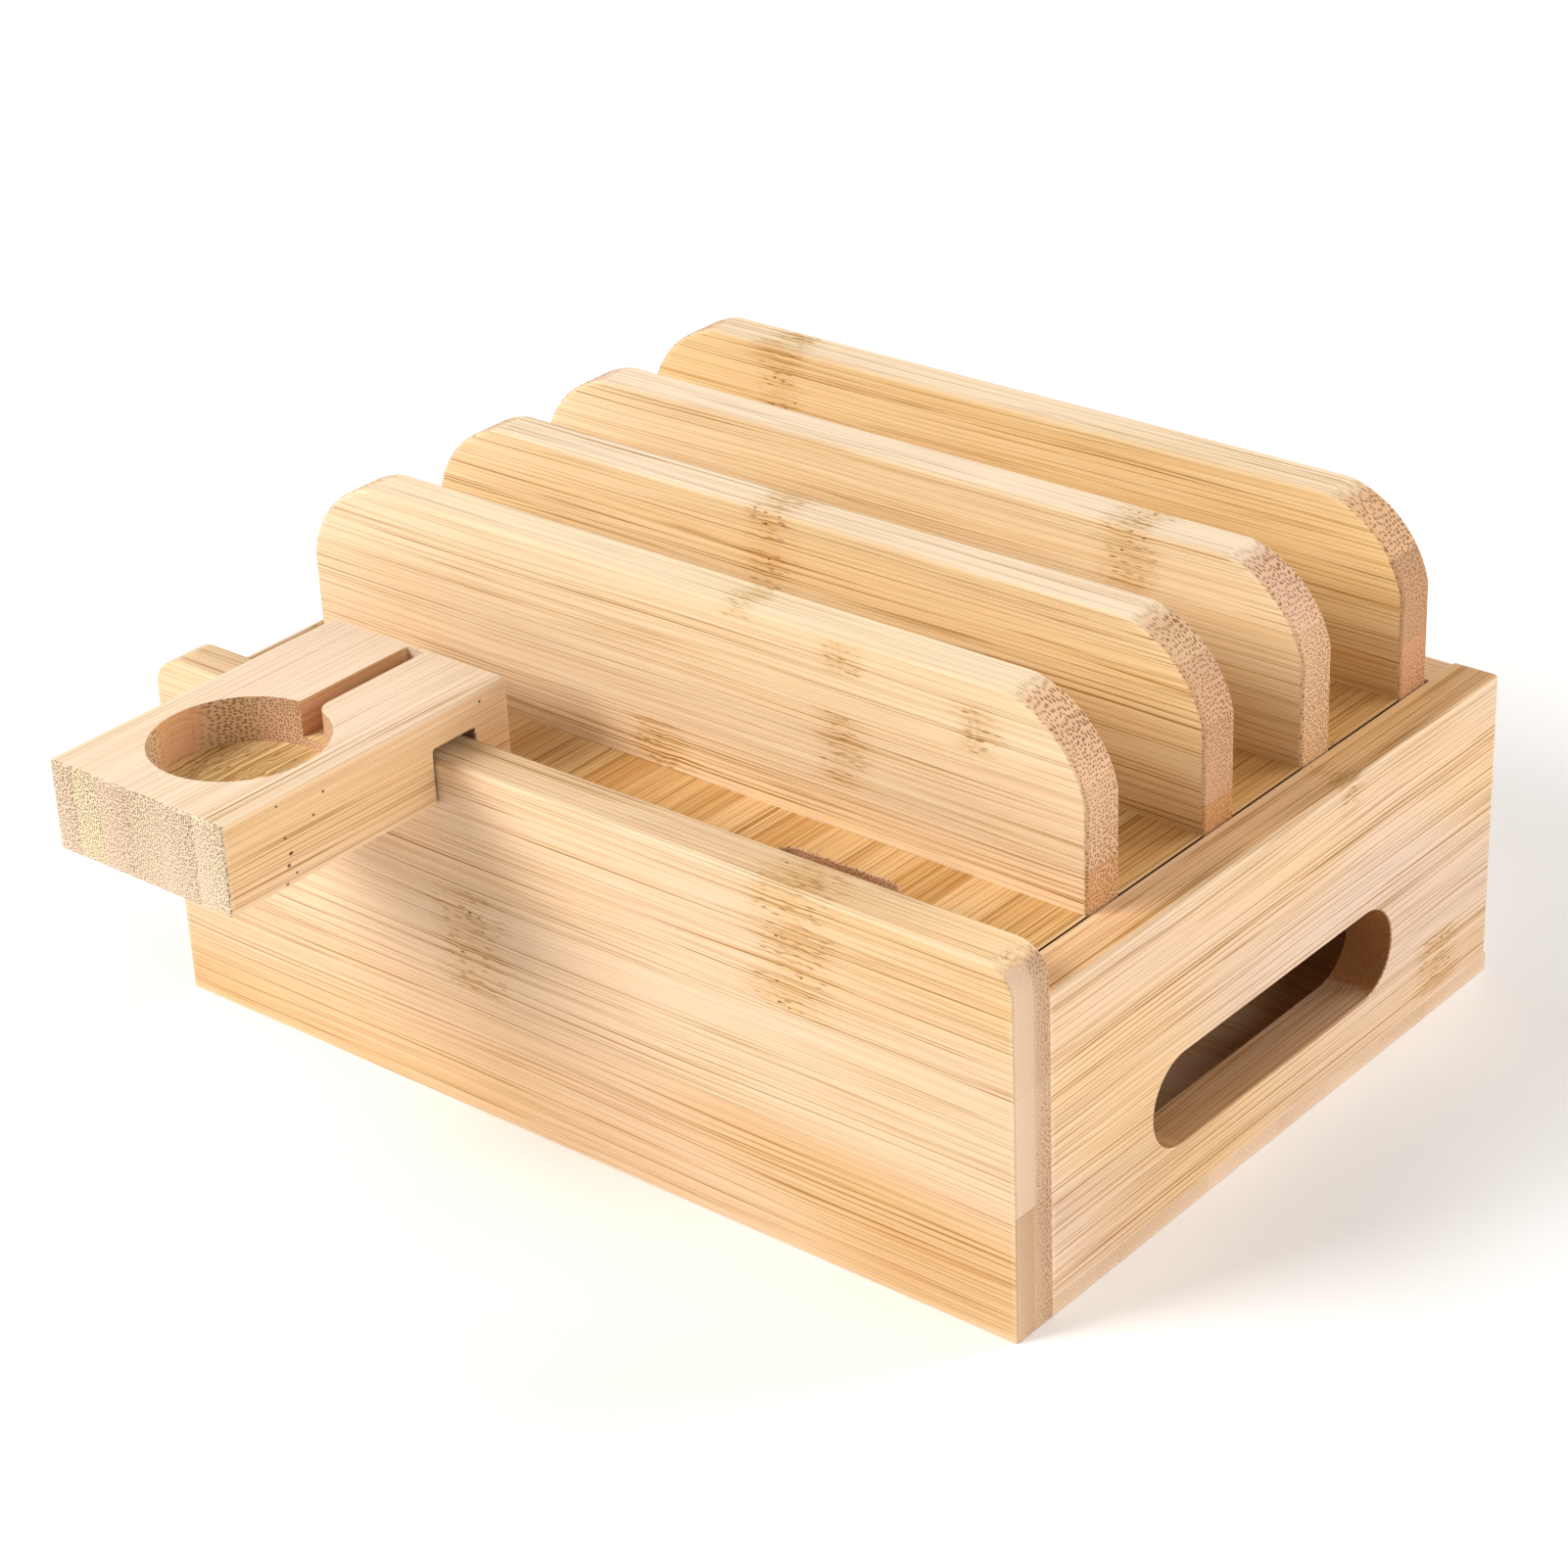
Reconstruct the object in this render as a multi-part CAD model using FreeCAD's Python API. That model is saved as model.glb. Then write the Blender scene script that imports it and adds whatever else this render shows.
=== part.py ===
import FreeCAD, Part
import math
import os

V = FreeCAD.Vector

# ---------------------------------------------------------------- dimensions
# All in millimetres. +X right, +Y to the back, +Z up; origin in the middle of
# the base of the box. Depths below are counted from the front panel's face.
W = 185.0                 # box width
D = 139.86                # box depth, front panel's face to the back
H_SIDE = 58.05            # top of the side and back panels, and of the deck
H_FRONT = 66.4            # top of the front panel, which stands up as a lip
H_DIV = 92.46             # top of the dividers

T_FRONT = 9.16            # board thicknesses
T_SIDE = 8.75
T_BACK = 8.42
T_BOTTOM = 3.2
T_DECK = 8.7
T_DIV = 8.65

R_FRONT_TOP = 5.7         # front panel's upper corners
R_FRONT_EDGE = 1.2        # round-over of its upper front edge
R_FRONT_SIDE = 0.4        # round-over of its upright front edges
R_FRONT_BACK = 0.3        # round-over of the lip's back edge

DIV_Y = (31.51, 63.21, 91.68, 122.19)   # front faces of the four dividers
DIV_ARC_X = 67.5          # the corner arc leaves the top edge here ...
DIV_ARC_Z = 76.85         # ... and meets the end edge at this height
DIV_ARC_R = 20.15
DIV_EASE = 6.0            # easing radius where the arcs meet the straight edges
DIV_EDGE = 0.8            # round-over of the dividers' edges
DADO = 2.5                # how deep the dividers are let into the deck

GAP_SIDE = 0.36           # lid to side panels
GAP_FRONT = 0.35          # lid to front panel
LID_BACK = 130.84         # rear edge of the deck

SLOT_Z = 21.63            # stadium slots in the side panels
SLOT_R = 8.54
SLOT_Y0, SLOT_Y1 = 45.11, 98.55         # centres of the slots' round ends

CABLE_X = 42.76           # cable slots in the deck, one pair in each bay
CABLE_L = 24.5
CABLE_W = 5.6
CABLE_DY = -0.55          # they lie this far from the bays' middle

CLEAT_W = 8.0             # strips that carry the lid
CLEAT_H = 9.0
CLEAT_END = 8.0           # distance from the front and back panels

STAND_X = -44.37          # watch stand: middle of its width
STAND_W = 40.1
STAND_FRONT = -46.68      # its front end, ahead of the front panel's face
STAND_BACK = 17.58
STAND_TOP = 74.45
STAND_LOW = H_SIDE + 0.1
NOTCH_GAP = 0.3           # notch to each face of the front panel
NOTCH_TOP = 68.16
PUCK_Y = -23.87           # recess for the charging puck
PUCK_R = 15.1
PUCK_FLOOR = 66.2
CORD_W = 4.0              # groove for the puck's cable
CORD_FLOOR = 68.0
CORD_END = 16.3
CORD_DX = 0.45            # the groove lies this far right of the middle
CORD_FLARE = 3.6          # rounding where the groove leaves the recess
CORD_CORNER = 0.6         # rounding of the groove's far corners

DOWEL_R, DOWEL_L = 2.5, 20.0
DOWEL_IN = 6.0            # how far a dowel enters the panel's face
DOWEL_Z = (15.0, 45.0)
FIT = 0.05                # room round dowels and screws

SCREW_R, SCREW_CORE, SCREW_HEAD_R = 1.5, 1.15, 2.8
SCREW_HEAD_H = 1.7
L_DIV_SCREW = 17.0
L_CLEAT_SCREW = 14.0
L_BASE_SCREW = 10.5
SINK = 0.25               # screw heads lie this far below the surface

Y0 = -D / 2.0             # front panel's face in the part's frame
XI = W / 2.0 - T_SIDE     # inner face of a side panel
DECK_LOW = H_SIDE - T_DECK
LID_X = XI - GAP_SIDE
os.makedirs("parts", exist_ok=True)


# ------------------------------------------------------------------- helpers
def box(x0, x1, y0, y1, z0, z1):
    """A block; y is counted from the front panel's face."""
    return Part.makeBox(x1 - x0, y1 - y0, z1 - z0, V(x0, Y0 + y0, z0))


def cyl(r, length, base, axis):
    return Part.makeCylinder(r, length, V(*base), V(*axis))


def prism(edges, direction):
    face = Part.Face(Part.Wire(edges))
    return face.extrude(V(*direction))


def line(a, b):
    return Part.LineSegment(V(*a), V(*b)).toShape()


def arc(a, m, b):
    return Part.Arc(V(*a), V(*m), V(*b)).toShape()


def on_arc(c, r, deg):
    return c[0] + r * math.cos(math.radians(deg)), c[1] + r * math.sin(math.radians(deg))


def edges_where(shape, test):
    """Edges whose two ends and middle all pass the test."""
    out = []
    for e in shape.Edges:
        a, b = e.ParameterRange
        pts = [e.valueAt(a), e.valueAt(b), e.valueAt(0.5 * (a + b))]
        if all(test(p) for p in pts):
            out.append(e)
    return out


def near(a, b, tol=1e-3):
    return abs(a - b) < tol


def rounded(shape, radius, test):
    es = edges_where(shape, test)
    return shape.makeFillet(radius, es) if es else shape


def stadium_x(yc0, yc1, zc, r, x0, x1):
    """Slot with round ends, running along Y, cut through along X."""
    a, b = Y0 + yc0, Y0 + yc1
    es = [line((x0, a, zc + r), (x0, b, zc + r)),
          arc((x0, b, zc + r), (x0, b + r, zc), (x0, b, zc - r)),
          line((x0, b, zc - r), (x0, a, zc - r)),
          arc((x0, a, zc - r), (x0, a - r, zc), (x0, a, zc + r))]
    return prism(es, (x1 - x0, 0, 0))


def stadium_z(xc, yc, length, width, z0, z1):
    """Slot with round ends, running along X, cut through along Z."""
    r = width / 2.0
    a, b, y = xc - length / 2.0 + r, xc + length / 2.0 - r, Y0 + yc
    es = [line((a, y + r, z0), (b, y + r, z0)),
          arc((b, y + r, z0), (b + r, y, z0), (b, y - r, z0)),
          line((b, y - r, z0), (a, y - r, z0)),
          arc((a, y - r, z0), (a - r, y, z0), (a, y + r, z0))]
    return prism(es, (0, 0, z1 - z0))


def revolve_z(points):
    """Solid of revolution about Z from (radius, height) points."""
    pts = [V(r, 0, z) for r, z in points]
    wire = Part.makePolygon(pts + [pts[0]])
    return Part.Face(wire).revolve(V(0, 0, 0), V(0, 0, 1), 360)


def placed(shape, base, axis):
    s = shape.copy()
    s.Placement = FreeCAD.Placement(V(*base), FreeCAD.Rotation(V(0, 0, 1), V(*axis)))
    return s


def wood_screw(length):
    """Countersunk wood screw along +Z, head at z = 0, with ring ridges."""
    pts = [(0, 0), (SCREW_HEAD_R, 0), (SCREW_HEAD_R, 0.25), (SCREW_R, SCREW_HEAD_H)]
    shank = SCREW_HEAD_H + 0.28 * (length - SCREW_HEAD_H)
    pts.append((SCREW_R, shank))
    z, pitch = shank, 1.35
    while z + 2 * pitch < length - 1.0:
        pts += [(SCREW_CORE, z + 0.35), (SCREW_CORE, z + 0.75), (SCREW_R, z + pitch)]
        z += pitch
    pts += [(SCREW_CORE, z + 0.35), (0, length)]
    s = revolve_z(pts)
    for a in (0, 90):
        k = Part.makeBox(3.0, 0.7, 1.1, V(-1.5, -0.35, -0.1))
        k.rotate(V(0, 0, 0), V(0, 0, 1), a)
        s = s.cut(k)
    return s


def screw_hole(length, depth=SINK):
    """Room for such a screw whose head lies a little below the surface."""
    r, h = SCREW_R + FIT, SCREW_HEAD_R + FIT
    return revolve_z([(0, -depth - 0.5), (h, -depth - 0.5), (h, 0.25 + FIT),
                      (r, SCREW_HEAD_H + FIT), (r, length + 0.3), (0, length + 0.3)])


def dowel():
    c = 0.6
    return revolve_z([(0, 0), (DOWEL_R - c, 0), (DOWEL_R, c), (DOWEL_R, DOWEL_L - c),
                      (DOWEL_R - c, DOWEL_L), (0, DOWEL_L)])


def dowel_hole():
    return Part.makeCylinder(DOWEL_R + FIT, DOWEL_L + 0.6, V(0, 0, -0.3))


def save(name, shape):
    solids = shape.Solids
    shape = solids[0] if len(solids) == 1 else Part.makeCompound(solids)
    shape.exportStep("parts/%s.step" % name)
    print(name, len(solids), shape.isValid(), round(shape.Volume, 1))


def cut_all(shape, tools):
    return shape.cut(tools) if tools else shape


# ---------------------------------------------------------------- fasteners
# Dowels: front corners run along Y, back corners along X.
dowels = []
for sx in (-1, 1):
    xc = sx * (W / 2.0 - T_SIDE / 2.0)
    for z in DOWEL_Z:
        dowels.append(((xc, Y0 + T_FRONT - DOWEL_IN, z), (0, 1, 0)))
        dowels.append(((sx * (XI + DOWEL_IN), Y0 + D - T_BACK / 2.0, z), (-sx, 0, 0)))
dowel_holes = [placed(dowel_hole(), b, a) for b, a in dowels]

# Screws that hold the bottom board, from below into the sides and the back.
base_at = []
for sx in (-1, 1):
    for y in (26.0, 71.0, 116.0):
        base_at.append((sx * (W / 2.0 - T_SIDE / 2.0), Y0 + y, SINK))
for x in (-45.0, 45.0):
    base_at.append((x, Y0 + D - T_BACK / 2.0, SINK))
base_holes = [placed(screw_hole(L_BASE_SCREW), b, (0, 0, 1)) for b in base_at]

# Screws that hold the cleats, from inside into the side panels.
cleat_at = []
cleat_z = DECK_LOW - CLEAT_H / 2.0
for sx in (-1, 1):
    for y in (34.0, 106.0):
        cleat_at.append(((sx * (XI - CLEAT_W + SINK), Y0 + y, cleat_z), (sx, 0, 0)))
cleat_holes = [placed(screw_hole(L_CLEAT_SCREW), b, a) for b, a in cleat_at]

# Screws that hold the dividers, from below through the deck.
div_at = []
for y in DIV_Y:
    for x in (-62.0, 0.0, 62.0):
        div_at.append((x, Y0 + y + T_DIV / 2.0, DECK_LOW + SINK))
div_holes = [placed(screw_hole(L_DIV_SCREW), b, (0, 0, 1)) for b in div_at]


# -------------------------------------------------------------- front panel
def front_outline(y):
    h, rt, x = H_FRONT, R_FRONT_TOP, W / 2.0
    k = 1.0 - math.sqrt(0.5)
    return [line((-x, y, 0), (x, y, 0)),
            line((x, y, 0), (x, y, h - rt)),
            arc((x, y, h - rt), (x - k * rt, y, h - k * rt), (x - rt, y, h)),
            line((x - rt, y, h), (-x + rt, y, h)),
            arc((-x + rt, y, h), (-x + k * rt, y, h - k * rt), (-x, y, h - rt)),
            line((-x, y, h - rt), (-x, y, 0))]


def front_section(x):
    """Section of the panel, its upper front edge rounded over."""
    h, r, a, b = H_FRONT, R_FRONT_EDGE, Y0, Y0 + T_FRONT
    k = 1.0 - math.sqrt(0.5)
    return [line((x, a, -5), (x, a, h - r)),
            arc((x, a, h - r), (x, a + k * r, h - k * r), (x, a + r, h)),
            line((x, a + r, h), (x, b, h)),
            line((x, b, h), (x, b, -5)),
            line((x, b, -5), (x, a, -5))]


raw = prism(front_outline(Y0), (0, T_FRONT, 0))
raw = rounded(raw, R_FRONT_SIDE, lambda p: near(p.y, Y0) and (p.z > 1e-3 or abs(p.x) > XI))
lip = rounded(raw, R_FRONT_BACK, lambda p: near(p.y, Y0 + T_FRONT) and (p.z > 1e-3 or abs(p.x) > XI))
lip = lip.common(prism(front_section(-W), (2 * W, 0, 0)))
upper = lip.common(box(-W, W, -5, T_FRONT + 5, H_SIDE, H_FRONT + 5))
lower = raw.common(box(-W, W, -5, T_FRONT + 5, -5, H_SIDE))
front = lower.fuse(upper).removeSplitter()
front = cut_all(front, dowel_holes)
save("front_panel", front)


# -------------------------------------------------------------- side panels
def side(sx):
    x0, x1 = (XI, W / 2.0) if sx > 0 else (-W / 2.0, -XI)
    s = box(x0, x1, T_FRONT, D, T_BOTTOM, H_SIDE)
    xo = sx * W / 2.0
    s = rounded(s, 0.9, lambda p: near(p.x, xo) and (near(p.z, H_SIDE) or near(p.y, Y0 + D)))
    s = s.cut(stadium_x(SLOT_Y0, SLOT_Y1, SLOT_Z, SLOT_R, x0 - 5, x1 + 5))
    inside = (Y0 + SLOT_Y0 - SLOT_R - 1, Y0 + SLOT_Y1 + SLOT_R + 1)
    s = rounded(s, 0.35, lambda p: near(p.x, xo) and inside[0] < p.y < inside[1]
                and SLOT_Z - SLOT_R - 1 < p.z < SLOT_Z + SLOT_R + 1)
    s = cut_all(s, [h for h, (b, a) in zip(dowel_holes, dowels) if b[0] * sx > 0])
    s = cut_all(s, [h for h, b in zip(base_holes, base_at) if b[0] * sx > XI])
    s = cut_all(s, [h for h, (b, a) in zip(cleat_holes, cleat_at) if b[0] * sx > 0])
    return s


save("side_panel_left", side(-1))
save("side_panel_right", side(1))

# --------------------------------------------------- back and bottom boards
back = box(-XI, XI, D - T_BACK, D, T_BOTTOM, H_SIDE)
back = rounded(back, 0.9, lambda p: near(p.z, H_SIDE) and near(p.y, Y0 + D))
back = cut_all(back, dowel_holes + [h for h, b in zip(base_holes, base_at) if abs(b[0]) < XI])
save("back_panel", back)

bottom = box(-W / 2.0, W / 2.0, T_FRONT, D, 0, T_BOTTOM)
bottom = rounded(bottom, 0.4, lambda p: near(p.z, 0) and not near(p.y, Y0 + T_FRONT)
                 and (near(abs(p.x), W / 2.0) or near(p.y, Y0 + D)))
bottom = cut_all(bottom, base_holes)
save("bottom_panel", bottom)


# ------------------------------------------------------------------- cleats
def cleat(sx):
    x0, x1 = (XI - CLEAT_W, XI) if sx > 0 else (-XI, -XI + CLEAT_W)
    c = box(x0, x1, T_FRONT + CLEAT_END, D - T_BACK - CLEAT_END, DECK_LOW - CLEAT_H, DECK_LOW)
    xi = sx * (XI - CLEAT_W)
    edge = [e for e in edges_where(c, lambda p: near(p.x, xi) and near(p.z, DECK_LOW - CLEAT_H))]
    c = c.makeChamfer(1.2, edge)
    return cut_all(c, [h for h, (b, a) in zip(cleat_holes, cleat_at) if b[0] * sx > 0])


save("cleat_left", cleat(-1))
save("cleat_right", cleat(1))

# ---------------------------------------------------------------------- lid
deck = box(-LID_X, LID_X, T_FRONT + GAP_FRONT, LID_BACK, DECK_LOW, H_SIDE)
deck = rounded(deck, 0.4, lambda p: near(p.z, H_SIDE))
bays = [(T_FRONT, DIV_Y[0])] + [(DIV_Y[i] + T_DIV, DIV_Y[i + 1]) for i in range(3)]
cable_y = [0.5 * (a + b) + CABLE_DY for a, b in bays]
slots = [stadium_z(sx * CABLE_X, y, CABLE_L, CABLE_W, DECK_LOW - 5, H_SIDE + 5)
         for y in cable_y for sx in (-1, 1)]
deck = deck.cut(slots)
deck = rounded(deck, 0.35, lambda p: near(p.z, H_SIDE) and abs(abs(p.x) - CABLE_X) < CABLE_L / 2.0 + 0.5
               and any(abs(p.y - Y0 - y) < CABLE_W / 2.0 + 0.5 for y in cable_y))
dadoes = [box(-LID_X - 5, LID_X + 5, y, y + T_DIV, H_SIDE - DADO, H_SIDE + 5) for y in DIV_Y[:3]]
dadoes.append(box(-LID_X - 5, LID_X + 5, DIV_Y[3], LID_BACK + 5, H_SIDE - DADO, H_SIDE + 5))
deck = deck.cut(dadoes)
deck = cut_all(deck, div_holes)
save("lid_deck", deck)


def divider(y):
    """Upright board; its upper corners are broad arcs that meet the top and
    the ends at a slight angle."""
    x, h, z0 = LID_X, H_DIV, H_SIDE - DADO
    # centre of the right-hand arc, from its two end points and its radius
    ax, az, bx, bz = DIV_ARC_X, h, x, DIV_ARC_Z
    mx, mz = 0.5 * (ax + bx), 0.5 * (az + bz)
    dx, dz = bx - ax, bz - az
    half = 0.5 * math.hypot(dx, dz)
    off = math.sqrt(DIV_ARC_R ** 2 - half ** 2)
    nx, nz = dz / (2 * half), -dx / (2 * half)
    cx, cz = mx + off * nx, mz + off * nz
    qx, qz = cx - DIV_ARC_R * nx, cz - DIV_ARC_R * nz
    f = Y0 + y
    es = [line((-x, f, z0), (x, f, z0)),
          line((x, f, z0), (x, f, bz)),
          arc((x, f, bz), (qx, f, qz), (ax, f, h)),
          line((ax, f, h), (-ax, f, h)),
          arc((-ax, f, h), (-qx, f, qz), (-x, f, bz)),
          line((-x, f, bz), (-x, f, z0))]
    s = prism(es, (0, T_DIV, 0))
    # ease the slight angles at the arcs' ends, then round the edges over
    kinks = [e for e in s.Edges if near(e.Vertexes[0].Point.x, e.Vertexes[-1].Point.x)
             and near(e.Vertexes[0].Point.z, e.Vertexes[-1].Point.z)
             and e.Vertexes[0].Point.z > z0 + 1.0]
    s = s.makeFillet(DIV_EASE, kinks)
    s = rounded(s, DIV_EDGE, lambda p: (near(p.y, f) or near(p.y, f + T_DIV)) and p.z > z0 + 0.01)
    return cut_all(s, [t for t, b in zip(div_holes, div_at) if near(b[1], f + T_DIV / 2.0)])


for i, y in enumerate(DIV_Y):
    save("divider_%d" % (i + 1), divider(y))

# -------------------------------------------------------------- watch stand
xa, xb = STAND_X - STAND_W / 2.0, STAND_X + STAND_W / 2.0
stand = box(xa, xb, STAND_FRONT, STAND_BACK, STAND_LOW, STAND_TOP)
stand = stand.cut(box(xa - 5, xb + 5, -NOTCH_GAP, T_FRONT + NOTCH_GAP, STAND_LOW - 5, NOTCH_TOP))
stand = rounded(stand, 0.5, lambda p: True)
stand = stand.cut(cyl(PUCK_R, 30, (STAND_X, Y0 + PUCK_Y, PUCK_FLOOR), (0, 0, 1)))
gx, gr = STAND_X + CORD_DX, CORD_W / 2.0
ge = Y0 + CORD_END


def cord_way(y, z):
    """Straight way for the cable from y to the groove's end, above z."""
    w = Part.makeBox(CORD_W, ge - y, 40, V(gx - gr, y, z))
    return rounded(w, CORD_CORNER, lambda p: near(p.y, ge) and near(abs(p.x - gx), gr))


# groove from the recess to near the back end, with a flared mouth
groove = cord_way(Y0 + PUCK_Y, CORD_FLOOR)
hit = math.sqrt((PUCK_R + CORD_FLARE) ** 2 - (gx + gr + CORD_FLARE - STAND_X) ** 2)
fx, fy = gx + gr + CORD_FLARE, Y0 + PUCK_Y + hit
t = PUCK_R / (PUCK_R + CORD_FLARE)
px, py = STAND_X + t * (fx - STAND_X), Y0 + PUCK_Y + t * hit
corner = Part.makePolygon([V(gx + gr - 0.5, fy, CORD_FLOOR), V(fx - CORD_FLARE, fy, CORD_FLOOR),
                           V(fx, fy, CORD_FLOOR), V(px, py, CORD_FLOOR),
                           V(STAND_X + 2.0, Y0 + PUCK_Y + 8.0, CORD_FLOOR),
                           V(gx + gr - 0.5, fy, CORD_FLOOR)])
flare = Part.Face(corner).extrude(V(0, 0, 30))
flare = flare.cut(cyl(CORD_FLARE, 40, (fx, fy, CORD_FLOOR - 5), (0, 0, 1)))
stand = stand.cut([groove, flare])
# the groove drops through the rear leg, open towards the notch
stand = stand.cut(cord_way(Y0 + T_FRONT + NOTCH_GAP - 2.0, STAND_LOW - 5))
save("watch_stand", stand)

# ------------------------------------------------------------ fastener nodes
save("corner_dowels", Part.makeCompound([placed(dowel(), b, a) for b, a in dowels]))
save("bottom_screws", Part.makeCompound([placed(wood_screw(L_BASE_SCREW), b, (0, 0, 1)) for b in base_at]))
save("cleat_screws", Part.makeCompound([placed(wood_screw(L_CLEAT_SCREW), b, a) for b, a in cleat_at]))
save("divider_screws", Part.makeCompound([placed(wood_screw(L_DIV_SCREW), b, (0, 0, 1)) for b in div_at]))
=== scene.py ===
import math

import bpy
from mathutils import Matrix, Vector


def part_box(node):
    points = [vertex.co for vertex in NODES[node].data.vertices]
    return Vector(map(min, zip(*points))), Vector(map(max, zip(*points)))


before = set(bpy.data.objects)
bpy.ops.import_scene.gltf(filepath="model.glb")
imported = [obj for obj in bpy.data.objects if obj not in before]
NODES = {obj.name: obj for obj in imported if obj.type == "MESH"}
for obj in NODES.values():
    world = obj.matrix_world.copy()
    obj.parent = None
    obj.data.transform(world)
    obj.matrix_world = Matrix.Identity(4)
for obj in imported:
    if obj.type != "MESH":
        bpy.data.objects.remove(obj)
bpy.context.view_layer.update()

scene = bpy.context.scene

# ------------------------------------------------------------------ colours
# Linear values of the wood's own tones; the joint-gap, divider-rim and scorch tones also serve as painted shade, and
# the recess-floor tone partly as painted light.
CREAM = (0.840, 0.640, 0.415)
HONEY = (0.780, 0.515, 0.268)
AMBER = (0.620, 0.325, 0.110)
ROSE = (0.780, 0.550, 0.395)
PALE = (0.880, 0.725, 0.515)
LINE = (0.370, 0.175, 0.034)
END = (0.700, 0.440, 0.262)
END_PALE = (0.800, 0.590, 0.420)
DOT = (0.290, 0.135, 0.058)
DOT_GREEN = (0.235, 0.165, 0.085)
KNOT = (0.270, 0.120, 0.036)
PIN = (0.085, 0.038, 0.016)
GLUE = (0.400, 0.215, 0.095)
SCORCH_AND_SHADE = (0.290, 0.110, 0.038)
BRUISE = (0.660, 0.390, 0.135)
FLOOR = (0.940, 0.680, 0.320)
GAP_SHADE = (0.095, 0.034, 0.012)
GOLD = (1.000, 0.985, 0.790)
RIM_SHADE = (0.640, 0.420, 0.215)


# ------------------------------------------------------------ node building
class Net:
    """Small helper that wires one material's nodes."""

    def __init__(self, name):
        self.mat = bpy.data.materials.new(name)
        self.mat.use_nodes = True
        self.tree = self.mat.node_tree
        self.tree.nodes.clear()
        self.count = 0

    def node(self, kind, **props):
        n = self.tree.nodes.new(kind)
        n.location = (-1800 + 190 * (self.count % 24), 600 - 260 * (self.count // 24))
        self.count += 1
        for k, v in props.items():
            setattr(n, k, v)
        return n

    def put(self, socket, value):
        if isinstance(value, bpy.types.NodeSocket):
            self.tree.links.new(value, socket)
        elif value is not None:
            if hasattr(socket.default_value, "__len__") and len(socket.default_value) == 4 and len(value) == 3:
                value = (*value, 1.0)
            socket.default_value = value

    def m(self, op, a, b=None, c=None, clamp=False):
        n = self.node("ShaderNodeMath", operation=op, use_clamp=clamp)
        for s, v in zip(n.inputs, (a, b, c)):
            self.put(s, v)
        return n.outputs[0]

    def add(self, a, b):
        return self.m("ADD", a, b)

    def mul(self, a, b):
        return self.m("MULTIPLY", a, b)

    def sub(self, a, b):
        return self.m("SUBTRACT", a, b)

    def absv(self, a):
        return self.m("ABSOLUTE", a)

    def madd(self, a, b, c):
        return self.m("MULTIPLY_ADD", a, b, c)

    def many(self, op, values):
        out = values[0]
        for v in values[1:]:
            out = self.m(op, out, v)
        return out

    def span(self, v, a, b, lo=0.0, hi=1.0, smooth=True):
        """v from a..b to lo..hi, clamped, eased at both ends."""
        n = self.node("ShaderNodeMapRange", interpolation_type="SMOOTHSTEP" if smooth else "LINEAR")
        if not smooth:
            n.clamp = True
        for s, x in zip(n.inputs, (v, a, b, lo, hi)):
            self.put(s, x)
        return n.outputs[0]

    def vec(self, x, y, z):
        n = self.node("ShaderNodeCombineXYZ")
        for s, v in zip(n.inputs, (x, y, z)):
            self.put(s, v)
        return n.outputs[0]

    def split(self, v):
        n = self.node("ShaderNodeSeparateXYZ")
        self.put(n.inputs[0], v)
        return list(n.outputs)

    def noise(self, vector, scale=1.0, detail=2.0, rough=0.5, colour=False):
        n = self.node("ShaderNodeTexNoise", noise_dimensions="3D")
        self.put(n.inputs["Vector"], vector)
        n.inputs["Scale"].default_value = scale
        n.inputs["Detail"].default_value = detail
        n.inputs["Roughness"].default_value = rough
        return n.outputs["Color" if colour else "Fac"]

    def cells(self, vector, randomness=0.8, dims="3D"):
        n = self.node("ShaderNodeTexVoronoi", voronoi_dimensions=dims, feature="F1")
        self.put(n.inputs["Vector"], vector)
        n.inputs["Scale"].default_value = 1.0
        n.inputs["Randomness"].default_value = randomness
        return n.outputs["Distance"], n.outputs["Color"]

    def rgb(self, colour):
        n = self.node("ShaderNodeSeparateColor")
        self.put(n.inputs[0], colour)
        return list(n.outputs)

    def ramp(self, fac, stops, mode="LINEAR"):
        n = self.node("ShaderNodeValToRGB")
        n.color_ramp.interpolation = mode
        els = n.color_ramp.elements
        while len(els) > 1:
            els.remove(els[-1])
        for i, (pos, col) in enumerate(stops):
            e = els[0] if i == 0 else els.new(pos)
            e.position = pos
            e.color = (*col, 1.0)
        self.put(n.inputs[0], fac)
        return n.outputs[0]

    def mix(self, fac, a, b, mode="MIX"):
        n = self.node("ShaderNodeMix", data_type="RGBA", blend_type=mode, clamp_factor=True)
        self.put(n.inputs[0], fac)
        self.put(n.inputs[6], a)
        self.put(n.inputs[7], b)
        return n.outputs[2]

    def bump(self, height, strength, distance):
        n = self.node("ShaderNodeBump")
        n.inputs["Strength"].default_value = strength
        n.inputs["Distance"].default_value = distance
        self.put(n.inputs["Height"], height)
        return n.outputs["Normal"]

    def shader(self, colour, rough, normal, **fixed):
        b = self.node("ShaderNodeBsdfPrincipled")
        o = self.node("ShaderNodeOutputMaterial")
        self.put(b.inputs["Base Color"], colour)
        self.put(b.inputs["Roughness"], rough)
        if normal is not None:
            self.put(b.inputs["Normal"], normal)
        for k, v in fixed.items():
            self.put(b.inputs[k.replace("_", " ")], v)
        self.tree.links.new(b.outputs[0], o.inputs[0])
        return self.mat


def extents(node):
    lo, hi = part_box(node)
    return [1000.0 * v for v in lo], [1000.0 * v for v in hi]


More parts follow.
